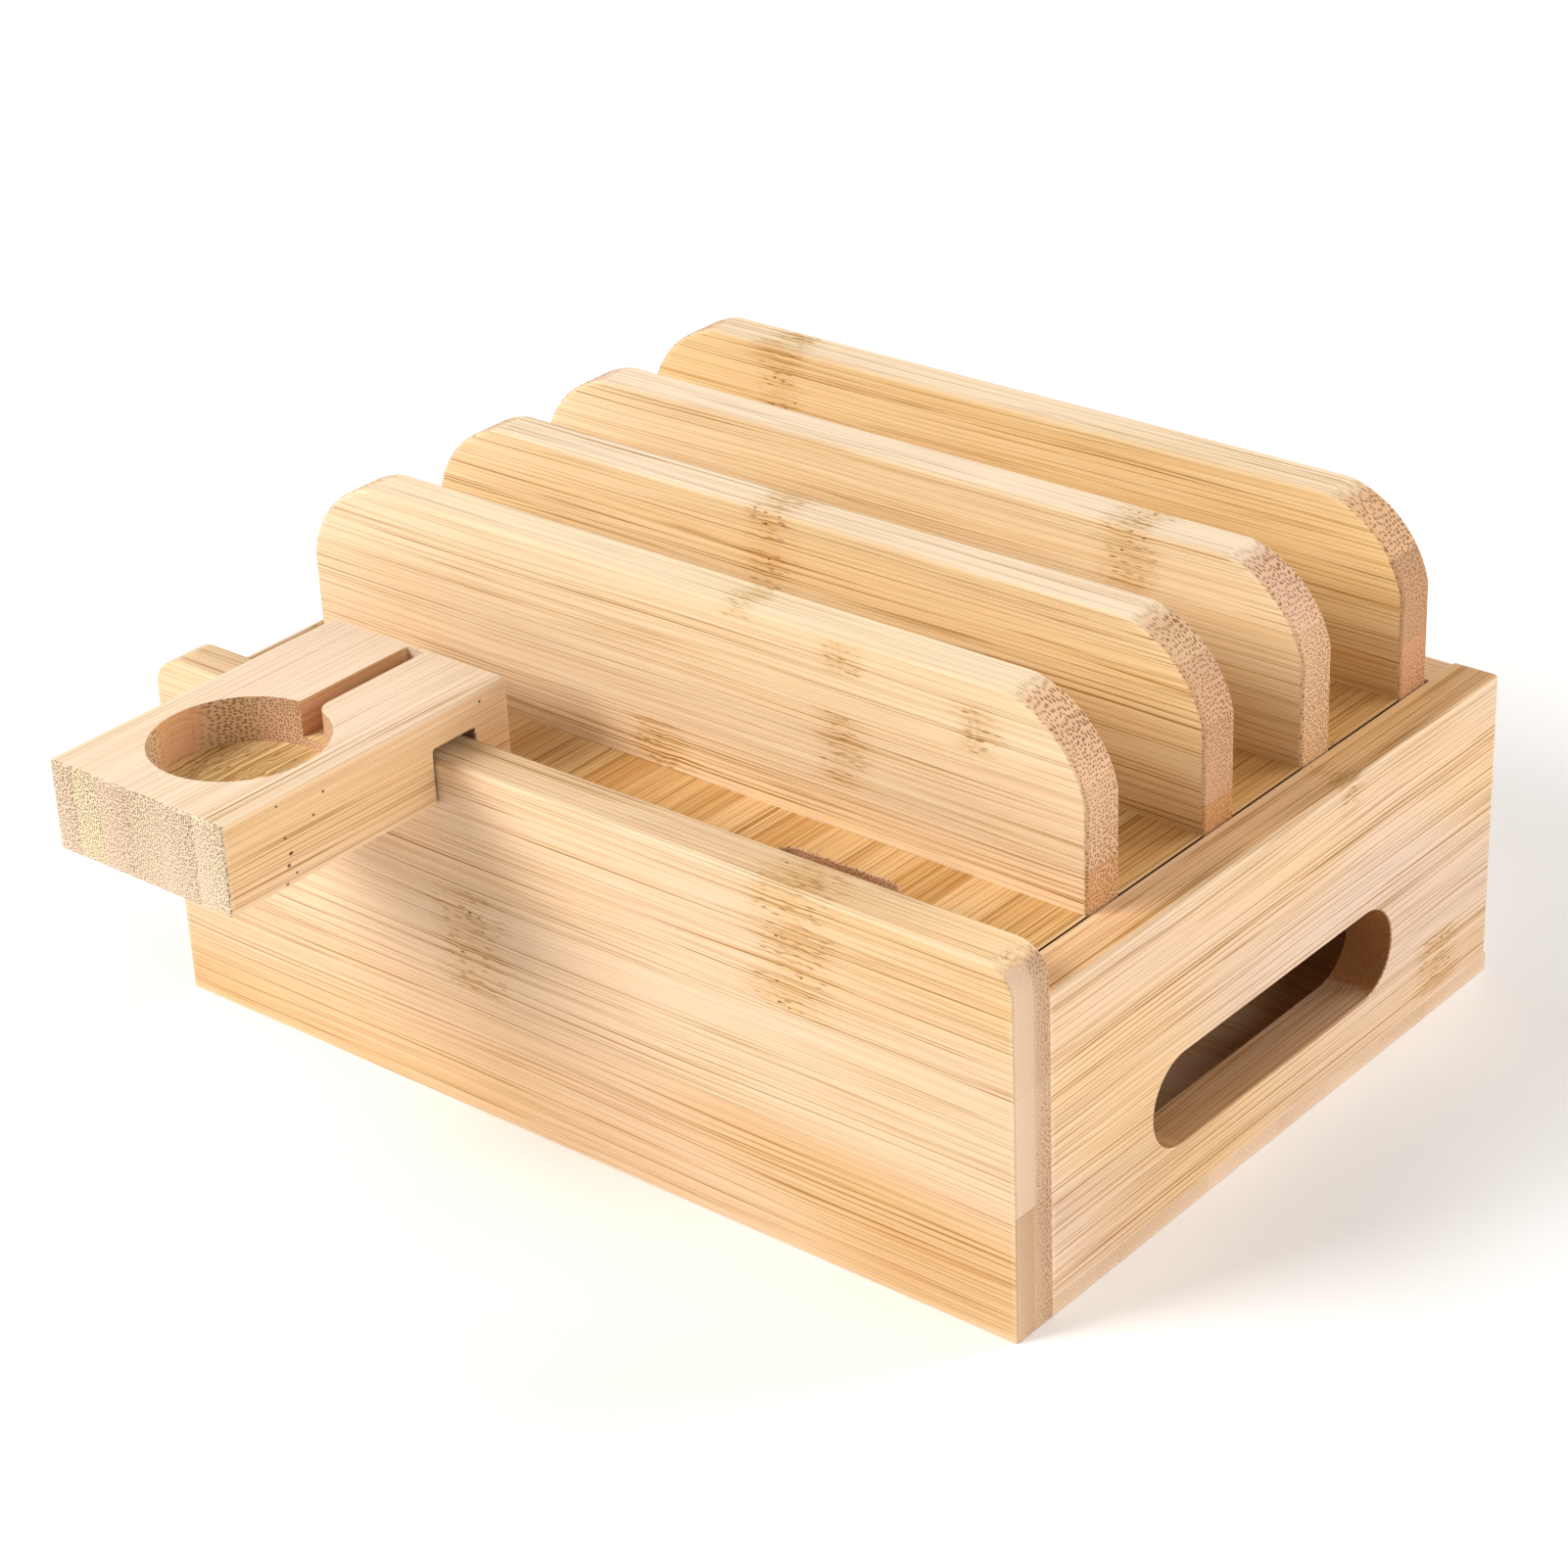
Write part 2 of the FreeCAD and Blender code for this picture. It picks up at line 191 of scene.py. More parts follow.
# ------------------------------------------------------------------- bamboo
def bamboo(name, node, axes, strips, end, seed, plies=(), knots=(), tone=0.0, lines=1.0,
           rose=0.25, grad=0.6, dots=DOT, end_tone=END, end_dots=1.35, bore=None, scorch_and_shade=(0.0, 0.0),
           cell=0.62, fleck=(), long_line=60.0, band=0.30, edge=0.25, end_from=0.20, gap_shade=None, floor_lines=0.0,
           scorch_and_shade_tone=SCORCH_AND_SHADE, top_light_and_shade=None, end_pale=0.6, gold=0.0, tints=(), notch=None, strands=1.0,
           rose_tone=ROSE, rim_wear_and_light_tone=PALE, calm=None, pin=1.0):
    """Laminated bamboo as a solid texture, in millimetres of the part's frame.

    axes: (along the fibres, across the strips, through the thickness) as 0, 1, 2.
    strips: (start, tone, line strength, density slant) across the board, up to `end`.
    plies: glue planes through the thickness.
    knots: (along, from, to, half length, strength, bow, ridge) of the culm's nodes.
    fleck: (along, across, through, radius) of single dark pores.
    bore: axis of machined openings, whose walls are darkened by `scorch_and_shade` (along, across the fibres): a scorch
    colour, deepened as painted shade inside the opening.
    seam: (axis, lowest height) of the narrow joint between parts, whose faces are painted dark as painted shade of the
    gap.
    skin: (axis, tone, amount, from) of outer faces across that axis that take a tone for how light falls on them:
    painted light on most tops, painted shade on the right side panel's top.
    gold: how far the long grain leans to yellow. tints: end-grain colour of each strip.
    notch: (from, to, below) of a saw-cut notch across the fibres, whose faces are painted dark as painted shade.
    calm: from here on along the fibres the cut ends show no dots. pin: how dark the knots' pinholes are.
    """
    g = Net(name)
    tc = g.node("ShaderNodeTexCoord")
    sc = g.node("ShaderNodeVectorMath", operation="SCALE")
    g.put(sc.inputs[0], tc.outputs["Object"])
    sc.inputs["Scale"].default_value = 1000.0
    comps = g.split(sc.outputs[0])
    nrm = [g.absv(c) for c in g.split(tc.outputs["Normal"])]
    al, ac, th = axes
    L, W, T = comps[al], comps[ac], comps[th]
    lo, hi = extents(node)

    # strip lookup: tone, seed and line strength; start, width and density slant
    first, last = strips[0][0], end
    size = last - first
    wn = g.span(W, first, last, smooth=False)
    stops_a, stops_b = [], []
    for i, (s, t, ln, gr) in enumerate(strips):
        e = strips[i + 1][0] if i + 1 < len(strips) else last
        pos = (s - first) / size
        h = math.modf(abs(math.sin((i + 1) * 12.9898 + seed * 78.233) * 43758.5453))[0]
        stops_a.append((pos, (0.5 + t, h, ln)))
        stops_b.append((pos, (pos, (e - s) / size, 0.5 + 0.5 * gr)))
    s_tone, s_seed, s_line = g.rgb(g.ramp(wn, stops_a, "CONSTANT"))
    s_start, s_width, s_slant = g.rgb(g.ramp(wn, stops_b, "CONSTANT"))
    u = g.m("DIVIDE", g.sub(wn, s_start), s_width, clamp=True)
    gap = g.mul(g.m("MINIMUM", u, g.sub(1.0, u)), g.mul(s_width, size))
    glue = g.span(gap, 0.24, 0.05)

    # plies through the thickness
    t0, t1 = lo[th], hi[th]
    if plies:
        steps = [g.m("GREATER_THAN", T, p) for p in plies]
        ply = g.many("ADD", steps) if len(steps) > 1 else steps[0]
        near = [g.span(g.absv(g.sub(T, p)), 0.22, 0.05) for p in plies]
        glue = g.m("MAXIMUM", glue, g.many("MAXIMUM", near) if len(near) > 1 else near[0])
        tn = g.m("FRACT", g.mul(g.span(T, t0 - 0.01, t1 + 0.01, 0.0, float(len(plies) + 1), smooth=False), 0.999))
        key = g.madd(ply, 0.37, s_seed)
        inner_ply = g.span(T, plies[0] - 0.9, plies[0] + 0.9)
    else:
        ply = None
        tn = g.span(T, t0, t1, smooth=False)
        key = s_seed
    dense = g.m("ADD", 0.5, g.add(g.mul(g.madd(s_slant, 2.0, -1.0), g.sub(u, 0.5)),
                                  g.mul(g.sub(tn, 0.5), grad)), clamp=True)

    # slow wander of the fibres, and the small one that lets them dive in and out of a face
    wob = g.rgb(g.noise(g.vec(g.madd(L, 0.011, seed * 3.1), g.mul(W, 0.045), g.mul(T, 0.045)), detail=1.0, colour=True))
    dive = g.rgb(g.noise(g.vec(g.madd(L, 1.0 / long_line, seed * 5.3), g.mul(W, 0.42), g.mul(T, 0.42)), detail=1.0, colour=True))
    Ww = g.madd(g.sub(dive[0], 0.5), 0.7, g.madd(g.sub(wob[0], 0.5), 2.0, W))
    Tw = g.madd(g.sub(dive[1], 0.5), 0.9, g.madd(g.sub(wob[1], 0.5), 1.2, T))

    # floors of recesses, where the cutter opened more of the fibres
    sunk = None
    if floor_lines:
        sunk = g.mul(g.span(nrm[th], 0.6, 0.9), g.span(T, t1 - 2.0, t1 - 4.0))

    # culm nodes: fibres bend, short dark streaks and pinholes gather, some cross with a ridge
    K = R = None
    if knots:
        jit = g.noise(g.vec(g.mul(L, 0.16), g.mul(W, 0.45), g.mul(T, 0.45)), detail=3.0, rough=0.6)
        ks, rs = [], []
        for kl, ka, kb, half, power, bow, ridged in knots:
            v = g.span(W, ka, kb, smooth=False)
            arch = g.mul(g.mul(v, g.sub(1.0, v)), 4.0 * bow)
            off = g.sub(L, g.add(arch, kl))
            d = g.madd(g.sub(jit, 0.5), half * 1.6, off)
            win = g.mul(g.span(W, ka - 0.4, ka + 0.5), g.span(W, kb + 0.4, kb - 0.5))
            ks.append(g.mul(g.mul(g.span(g.absv(d), half * 1.25, 0.0), win), power))
            if ridged:
                e = g.madd(g.sub(jit, 0.5), 1.2, off)
                r = g.add(g.span(g.absv(e), 0.45, 0.1), g.mul(g.span(g.absv(g.add(e, 1.5)), 0.4, 0.1), 0.7))
                rs.append(g.mul(g.mul(r, win), ridged))
        K = g.many("MAXIMUM", ks) if len(ks) > 1 else ks[0]
        if sunk is not None:
            K = g.mul(K, sunk)
        if rs:
            R = g.many("MAXIMUM", rs) if len(rs) > 1 else rs[0]
        bend = g.noise(g.vec(g.mul(L, 0.13), g.mul(W, 0.30), g.mul(T, 0.30)), detail=2.0)
        Ww = g.madd(g.mul(K, g.sub(bend, 0.5)), 1.4 if sunk is None else 3.0, Ww)

    # vascular bundles: rods along the fibres, dots where they are cut across
    bv = g.vec(g.add(g.mul(Ww, 1.0 / cell), g.mul(key, 31.0)), g.add(g.mul(Tw, 1.0 / cell), g.mul(key, 53.0)), 0.0)
    dist, tint = g.cells(bv, 0.62, "2D")
    own = g.rgb(tint)[0]
    rad = g.madd(dense, 0.10, 0.235)
    dot = g.span(dist, g.mul(rad, 1.25), g.mul(rad, 0.60))
    rod = g.span(dist, g.mul(rad, 0.95), g.mul(rad, 0.35))

    # fibres and tone bands
    fine = g.noise(g.vec(g.madd(L, 0.022, g.mul(key, 9.0)), g.mul(Ww, 1.75), g.mul(Tw, 1.75)), detail=3.0, rough=0.65)
    hair = g.noise(g.vec(g.madd(L, 1.3 / long_line, g.mul(key, 41.0)), g.mul(Ww, 2.1), g.mul(Tw, 2.1)), detail=1.5, rough=0.6)
    hairs = g.span(hair, 0.54, 0.65)
    streak = g.noise(g.vec(g.madd(L, 0.009, g.mul(key, 23.0)), g.mul(Ww, 0.42), g.mul(Tw, 0.42)), detail=2.0, rough=0.55)
    drift = g.noise(g.vec(g.madd(L, 0.012, seed), g.mul(W, 0.034), g.mul(T, 0.034)), detail=1.0)
    where = g.noise(g.vec(g.madd(L, 0.026, seed * 1.7), g.mul(W, 0.16), g.mul(T, 0.16)), detail=1.0)

    # evenly laid thin strands, each fading in and out along its length
    lay = g.node("ShaderNodeTexVoronoi", voronoi_dimensions="1D", feature="F1")
    g.put(lay.inputs["W"], g.madd(g.add(Ww, Tw), 1.0 / 0.92, g.mul(key, 71.0)))
    lay.inputs["Scale"].default_value = 1.0
    lay.inputs["Randomness"].default_value = 0.85
    lot = g.rgb(lay.outputs["Color"])
    fade = g.noise(g.vec(g.madd(L, 1.4 / long_line, g.mul(lot[1], 40.0)), g.mul(lot[2], 13.0), seed), detail=1.0)
    strand = g.mul(g.span(lay.outputs["Distance"], 0.20, 0.06), g.madd(lot[0], 0.50, 0.14))
    strand = g.mul(strand, g.span(fade, 0.36, 0.60, 0.30, 1.0))

    # long-grain colour
    v = g.add(g.add(s_tone, tone),
              g.add(g.mul(g.sub(streak, 0.5), band), g.add(g.mul(g.sub(fine, 0.5), 0.72), g.mul(g.sub(drift, 0.5), 0.40))))
    base = g.ramp(v, [(0.0, AMBER), (0.36, HONEY), (0.72, CREAM), (1.0, PALE)])
    warm = g.m("MULTIPLY", g.span(drift, 0.30, 0.66), rose, clamp=True)
    base = g.mix(warm, base, rose_tone)
    if gold:
        base = g.mix(gold, base, GOLD, "MULTIPLY")
    # painted light and shade on the tops: faces across the given axis take a tone for how light falls on them, paler
    # where lit, darker in the dividers' shade on the right side panel
    if top_light_and_shade is not None:
        sk_ax, sk_tone, sk_amount, sk_from = top_light_and_shade
        painted_top_tone = g.mul(g.span(nrm[sk_ax], 0.55, 0.9), g.span(comps[sk_ax], sk_from, sk_from + 1.0))
        base = g.mix(g.mul(painted_top_tone, g.madd(g.sub(fine, 0.5), 0.8, sk_amount)), base, sk_tone)
    draw = g.add(g.mul(g.mul(rod, g.madd(own, 0.45, 0.12)), g.span(where, 0.22, 0.62, 0.55, 1.0)),
                 g.add(g.mul(hairs, 0.22), g.mul(strand, strands)))
    draw = g.mul(draw, g.mul(s_line, g.span(streak, 0.36, 0.60, 1.20, 0.60)))
    # recess floors take a golden tone from the opened fibres, made lighter as painted light against the shade in the
    # recess
    if sunk is not None:
        base = g.mix(g.mul(sunk, 0.85), base, FLOOR)
        draw = g.mul(draw, g.madd(sunk, floor_lines, 1.0))
    if K is not None:
        draw = g.mul(draw, g.madd(K, 1.6, 1.0))
    long_c = g.mix(g.m("MULTIPLY", draw, lines, clamp=True), base, LINE)

    # end-grain colour
    end_v = g.m("MULTIPLY_ADD", g.sub(fine, 0.5), 0.35, g.madd(dense, -0.55, 0.85), clamp=True)
    end_base = g.mix(end_v, [c * k for c, k in zip(end_tone, (0.78, 0.70, 0.62))], end_tone)
    if tints:
        tinted = g.ramp(wn, [((s[0] - first) / size, t) for s, t in zip(strips, tints)], "CONSTANT")
        end_base = g.mix(g.madd(end_v, 0.35, 0.60), end_base, tinted)
    else:
        end_base = g.mix(g.span(s_tone, 0.42, 0.75, 0.0, end_pale), end_base, END_PALE)
    speck = g.mul(g.madd(dense, 0.7, 0.45), end_dots)
    if calm is not None:
        speck = g.mul(speck, g.span(L, calm, calm - 1.0))
    if ply is not None:
        outer = g.mul(g.sub(1.0, inner_ply), g.span(s_tone, 0.30, 0.38))
        end_base = g.mix(g.m("MULTIPLY", outer, 0.45, clamp=True), end_base, END_PALE)
        speck = g.mul(speck, g.madd(inner_ply, 0.90, 0.10))
    end_c = g.mix(g.m("MULTIPLY", g.mul(dot, g.madd(own, 0.5, 0.5)), speck, clamp=True), end_base, dots)
    across = g.span(nrm[al], end_from, end_from + 0.25)
    colour = g.mix(across, long_c, end_c)
    plain = g.sub(1.0, across)

    spots_h = None
    if K is not None:
        fd, ft = g.cells(g.vec(g.mul(L, 0.34), g.mul(Ww, 2.1), g.mul(Tw, 2.1)), 0.9)
        short = g.mul(g.span(fd, 0.42, 0.18), g.span(g.rgb(ft)[1], 0.35, 0.65))
        pd, pt = g.cells(g.vec(g.mul(L, 0.42), g.mul(Ww, 0.80), g.mul(Tw, 0.80)), 1.0)
        pins = g.mul(g.span(pd, 0.22, 0.11), g.span(g.rgb(pt)[0], 0.62, 0.68))
        streaky = g.m("MULTIPLY", g.mul(short, g.span(K, 0.08, 0.60)), 0.74)
        if R is not None:
            streaky = g.m("MAXIMUM", streaky, R)
        colour = g.mix(g.m("MULTIPLY", g.mul(K, plain), 0.34, clamp=True), colour, BRUISE)
        colour = g.mix(g.m("MULTIPLY", streaky, plain, clamp=True), colour, KNOT)
        holes = g.m("MULTIPLY", g.mul(pins, g.span(K, 0.35, 0.7)), g.mul(plain, pin), clamp=True)
        colour = g.mix(g.mul(holes, 0.85), colour, PIN)
        spots_h = g.add(g.mul(streaky, 0.5), holes)
    if fleck:
        spots = []
        for fl, fa, ft_, fr in fleck:
            d2 = g.add(g.m("POWER", g.mul(g.sub(L, fl), 0.75), 2.0),
                       g.add(g.m("POWER", g.sub(W, fa), 2.0), g.m("POWER", g.sub(T, ft_), 2.0)))
            spots.append(g.span(d2, fr * fr, 0.2 * fr * fr))
        pores = g.many("MAXIMUM", spots) if len(spots) > 1 else spots[0]
        colour = g.mix(g.mul(pores, 0.9), colour, PIN)
        spots_h = pores if spots_h is None else g.add(spots_h, pores)
    colour = g.mix(g.mul(glue, g.madd(across, 0.04, 0.08)), colour, GLUE)

    # edges are paler from handling wear and as a painted highlight, and the dividers' rims are darker as painted shade
    # against their highlight; walls of machined openings take a scorch colour deepened as painted shade; joint gap
    # faces are painted dark as painted shade
    ds = [g.m("MINIMUM", g.sub(comps[i], lo[i]), g.sub(hi[i], comps[i])) for i in range(3)]
    med = g.m("MAXIMUM", g.m("MINIMUM", ds[0], ds[1]), g.m("MINIMUM", g.m("MAXIMUM", ds[0], ds[1]), ds[2]))
    rim_wear_and_light = g.mul(g.mul(g.span(med, 1.3, 0.15), g.span(where, 0.25, 0.6)), g.madd(across, -0.6, 1.0))
    colour = g.mix(g.mul(rim_wear_and_light, edge), colour, rim_wear_and_light_tone)
    # walls inside machined openings: a scorch colour, deepened as painted shade of the opening
    if bore is not None:
        o = [i for i in range(3) if i != bore]
        inner = g.mul(g.span(g.m("MINIMUM", ds[o[0]], ds[o[1]]), 1.5, 3.0), g.span(nrm[bore], 0.7, 0.3))
        inner = g.mul(inner, g.madd(g.sub(fine, 0.5), 0.9, 1.0))
        colour = g.mix(g.mul(inner, g.madd(across, scorch_and_shade[1] - scorch_and_shade[0], scorch_and_shade[0])), colour, scorch_and_shade_tone)
    dull = spots_h
    # painted shade: the faces of the narrow joint gap between parts are painted dark for the gap's shadow
    if gap_shade is not None:
        ax, low = gap_shade
        ragged = g.madd(g.sub(fine, 0.5), 1.2, comps[2])
        face = g.mul(g.span(nrm[ax], 0.35, 0.65), g.span(ragged, low, low + 0.9))
        if node == "lid_deck":
            face = g.mul(face, g.span(g.absv(comps[ax]), 82.8, 83.2))
        else:
            face = g.mul(face, g.span(g.absv(comps[ax]), 84.5, 84.0))
        colour = g.mix(face, colour, GAP_SHADE)
        dull = face if dull is None else g.m("MAXIMUM", dull, face)
    # painted shade: the faces inside the saw-cut notch are painted dark, mottled by the fibre noise
    if notch is not None:
        n0, n1, below = notch
        cut = g.mul(g.mul(g.span(L, n0 - 0.3, n0), g.span(L, n1 + 0.3, n1)), g.span(T, below + 0.3, below))
        cut = g.mul(g.mul(cut, g.span(nrm[ac], 0.8, 0.5)), g.madd(g.sub(fine, 0.5), 0.9, 0.62))
        colour = g.mix(cut, colour, SCORCH_AND_SHADE)
        dull = cut if dull is None else g.m("MAXIMUM", dull, cut)

    # satin finish: fibres stay a little rough and open, pores and joint faces have no sheen
    pits = g.madd(across, g.sub(dot, rod), rod)
    rough = g.m("ADD", g.madd(fine, 0.16, 0.45), g.add(g.mul(pits, 0.08), g.mul(across, 0.14)), clamp=True)
    h = g.add(g.mul(fine, 0.40), g.add(g.mul(pits, -0.45), g.mul(glue, -0.6)))
    if spots_h is not None:
        h = g.add(h, g.mul(spots_h, -0.9))
    sheen = g.sub(0.42, g.mul(pits, 0.16))
    if dull is not None:
        sheen = g.m("MULTIPLY", sheen, g.m("SUBTRACT", 1.0, dull, clamp=True), clamp=True)
    return g.shader(colour, rough, g.bump(h, 0.40, 0.00014), Specular_IOR_Level=sheen)


def dress(node, mat):
    mesh = NODES[node].data
    mesh.materials.clear()
    mesh.materials.append(mat)


Y0 = 1000.0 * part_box("front_panel")[0].y    # the front panel's face, mm
X, Y, Z = 0, 1, 2


def d(depth):
    """Depth behind the front panel's face, as a coordinate."""
    return Y0 + depth


# the lip's top takes a golden tone as painted light
dress("front_panel", bamboo(
    "bamboo_front", "front_panel", (X, Z, Y), [(-4, -0.20, 1.2, 0.5), (22.7, 0.01, 1.0, -0.5), (44.0, -0.09, 1.2, 0.4)], 70.0,
    seed=1.0, plies=[d(5.0)], lines=1.12, rose=0.45, end_tone=(0.580, 0.385, 0.240), end_dots=1.2, top_light_and_shade=(Z, (0.850, 0.650, 0.410), 0.45, 65.0),
    knots=[(-21, 24, 43.5, 8.5, 0.95, 1.5, 0), (49, 44.3, 72, 9.0, 1.0, 1.5, 0)], grad=0.9, end_from=0.50))

# its top takes a dark amber tone as painted shade of the dividers; its slot walls take a scorch colour with painted
# shade, and its inner top faces are painted dark as gap shade
dress("side_panel_right", bamboo(
    "bamboo_side_right", "side_panel_right", (Y, Z, X), [(0, -0.10, 1.3, 0.3), (19.5, -0.03, 1.3, -0.4), (39.0, -0.03, 1.4, 0.4)], 62.0,
    seed=2.0, lines=1.3, rose=1.1, rose_tone=(0.740, 0.540, 0.410), band=0.15, top_light_and_shade=(Z, (0.760, 0.410, 0.140), 0.55, 56.0), knots=[(d(122), 4, 15.5, 7.0, 1.0, 1.0, 0.0), (d(92), 52, 62, 4.0, 0.6, 0.5, 0)],
    bore=X, scorch_and_shade=(0.52, 0.92), scorch_and_shade_tone=(0.385, 0.150, 0.034), gap_shade=(X, 56.4)))

# its top takes a pale tone as painted light; its slot walls take a scorch colour with painted shade, and its inner top
# faces are painted dark as gap shade
dress("side_panel_left", bamboo(
    "bamboo_side_left", "side_panel_left", (Y, Z, X), [(0, 0.0, 1.3, -0.3), (20.5, -0.05, 1.3, 0.4), (40.5, 0.03, 1.3, 0.4)], 62.0,
    seed=3.0, lines=1.3, rose=0.95, rose_tone=(0.740, 0.540, 0.410), band=0.15, top_light_and_shade=(Z, (0.880, 0.710, 0.530), 0.75, 56.0), knots=[(d(40), 40.8, 62, 7.5, 0.9, 1.0, 0), (d(104), 3, 20.3, 7.5, 0.9, -1.0, 0.25)],
    bore=X, scorch_and_shade=(0.52, 0.92), scorch_and_shade_tone=(0.385, 0.150, 0.034), gap_shade=(X, 56.4)))

dress("back_panel", bamboo(
    "bamboo_back", "back_panel", (X, Z, Y), [(0, -0.04, 1.5, 0.4), (21.0, 0.04, 1.3, -0.4), (41.0, -0.08, 1.6, 0.4)], 62.0,
    seed=4.0, rose=0.5, knots=[(38, 21.3, 40.8, 8.0, 0.95, 1.5, 0), (-47, 41.2, 62, 7.5, 0.9, -1.5, 0.3)]))

dress("bottom_panel", bamboo(
    "bamboo_bottom", "bottom_panel", (X, Y, Z),
    [(d(5), -0.02, 1.0, 0.6), (d(27), -0.06, 1.0, -0.5), (d(51.8), 0.14, 0.7, 0.4), (d(72.5), 0.06, 1.0, -0.6),
     (d(96), -0.04, 1.0, 0.5), (d(119), 0.05, 1.0, -0.5)], d(145), seed=5.0, rose=0.3, end_dots=0.3, end_tone=(0.74, 0.53, 0.36),
    knots=[(-30, d(28), d(51), 7.5, 0.9, 1.5, 0), (44, d(97), d(118), 7.5, 0.9, -1.5, 0.2)]))

for side in ("left", "right"):
    dress("cleat_" + side, bamboo(
        "bamboo_cleat_" + side, "cleat_" + side, (Y, Z, X), [(38, 0.0, 1.0, 0.5)], 51.0, seed=6.0 + len(side), rose=0.3))

deck_strips = []
edge_x, tones = -86.0, (-0.05, -0.16, 0.02, -0.10, -0.20, -0.02, -0.13, 0.05, -0.18, -0.07, -0.15, 0.0, -0.22, -0.08, -0.03, -0.17, 0.03, -0.12)
widths = (9.4, 8.1, 10.6, 7.7, 9.9, 8.8, 10.2, 9.0, 8.3, 10.9, 7.9, 9.6, 9.2, 10.4, 8.0, 9.8, 8.6, 12.0)
for k, (t, w) in enumerate(zip(tones, widths)):
    deck_strips.append((edge_x, 1.4 * t, 1.0 + 0.25 * math.sin(2.3 * k), 0.8 if k % 2 else -0.8))
    edge_x += w
# the deck's cable-slot walls take a scorch colour deepened as painted shade, and its side faces are painted dark as
# shade of the joint gap
dress("lid_deck", bamboo(
    "bamboo_deck", "lid_deck", (Y, X, Z), deck_strips, 90.0, seed=7.0, tone=-0.16, rose=0.0, lines=1.75, end_dots=2.0, gold=0.55,
    knots=[(d(102), 60, 84, 4.0, 0.8, 1.0, 0.0)], bore=Z, scorch_and_shade=(0.65, 0.35), scorch_and_shade_tone=(0.400, 0.150, 0.046), long_line=60.0, gap_shade=(X, 56.6)))

# the dividers' rims take a darker tone as painted shade against the highlight on their rounded top edges, and their
# tops take a pale tone as painted light
dress("divider_1", bamboo(
    "bamboo_divider_1", "divider_1", (X, Z, Y),
    [(52, 0.15, 1.3, 0.5), (65.5, 0.21, 1.0, -0.6), (79.5, 0.27, 0.8, 0.5), (88.2, 0.27, 0.7, 0.4)], 96.0,
    seed=8.0, lines=1.25, rose=0.22, band=0.60, edge=0.42, rim_wear_and_light_tone=RIM_SHADE, end_pale=0.05, end_tone=(0.610, 0.340, 0.165), end_dots=2.3, cell=0.67,
    tints=[(0.620, 0.325, 0.138), (0.650, 0.410, 0.235), (0.735, 0.460, 0.265), (0.780, 0.490, 0.280)], top_light_and_shade=(Z, (0.890, 0.735, 0.520), 0.6, 88.0), gold=0.15, pin=0.3,
    knots=[(-4, 52, 66.5, 6.5, 0.9, 1.5, 0.0), (35, 66, 79, 6.0, 0.8, 1.0, 0.06), (61, 79.8, 88, 5.0, 0.9, 2.0, 0.14),
           (35.5, 86, 91.6, 5.5, 0.95, 0.5, 0.10), (14, 90, 97, 4.0, 0.7, 0.5, 0)]))
dress("divider_2", bamboo(
    "bamboo_divider_2", "divider_2", (X, Z, Y),
    [(52, 0.07, 1.3, -0.5), (63.0, 0.09, 1.2, 0.6), (77.0, 0.14, 1.1, -0.5), (86.5, 0.15, 1.0, 0.5)], 96.0,
    seed=9.0, lines=1.3, rose=0.10, band=0.60, edge=0.42, rim_wear_and_light_tone=RIM_SHADE, end_pale=0.05, end_tone=(0.570, 0.300, 0.148), end_dots=2.3, cell=0.67,
    tints=[(0.530, 0.252, 0.082), (0.555, 0.310, 0.162), (0.610, 0.355, 0.195), (0.670, 0.435, 0.235)], top_light_and_shade=(Z, (0.890, 0.740, 0.580), 0.65, 88.0), gold=0.5,
    knots=[(-6, 78, 97, 6.0, 0.9, 1.0, 0.0), (44, 63.3, 76.7, 6.0, 0.7, 1.5, 0)]))
dress("divider_3", bamboo(
    "bamboo_divider_3", "divider_3", (X, Z, Y),
    [(52, 0.06, 1.2, 0.5), (67.0, 0.16, 1.1, -0.5), (81.5, 0.26, 0.9, 0.5)], 96.0,
    seed=10.0, lines=1.1, rose=0.10, band=0.60, edge=0.42, rim_wear_and_light_tone=RIM_SHADE, end_pale=0.05, end_tone=(0.600, 0.335, 0.180), end_dots=2.3, cell=0.67,
    tints=[(0.665, 0.410, 0.205), (0.630, 0.395, 0.220), (0.700, 0.435, 0.275)], top_light_and_shade=(Z, (0.890, 0.740, 0.580), 0.65, 88.0), gold=0.4,
    knots=[(48, 67.5, 97, 6.5, 0.95, 1.0, 0)]))
dress("divider_4", bamboo(
    "bamboo_divider_4", "divider_4", (X, Z, Y),
    [(52, -0.04, 1.1, -0.5), (68.0, -0.02, 1.1, 0.5), (83.0, 0.03, 1.1, -0.5)], 96.0,
    seed=11.0, lines=1.3, rose=0.05, band=0.60, edge=0.42, rim_wear_and_light_tone=RIM_SHADE, end_pale=0.05, end_tone=(0.540, 0.285, 0.140), end_dots=2.3, cell=0.67,
    tints=[(0.580, 0.285, 0.132), (0.480, 0.265, 0.130), (0.700, 0.415, 0.208)], top_light_and_shade=(Z, (0.890, 0.740, 0.560), 0.65, 88.0), gold=0.7,
    knots=[(-52, 68, 97, 6.5, 0.95, 1.0, 0)]))

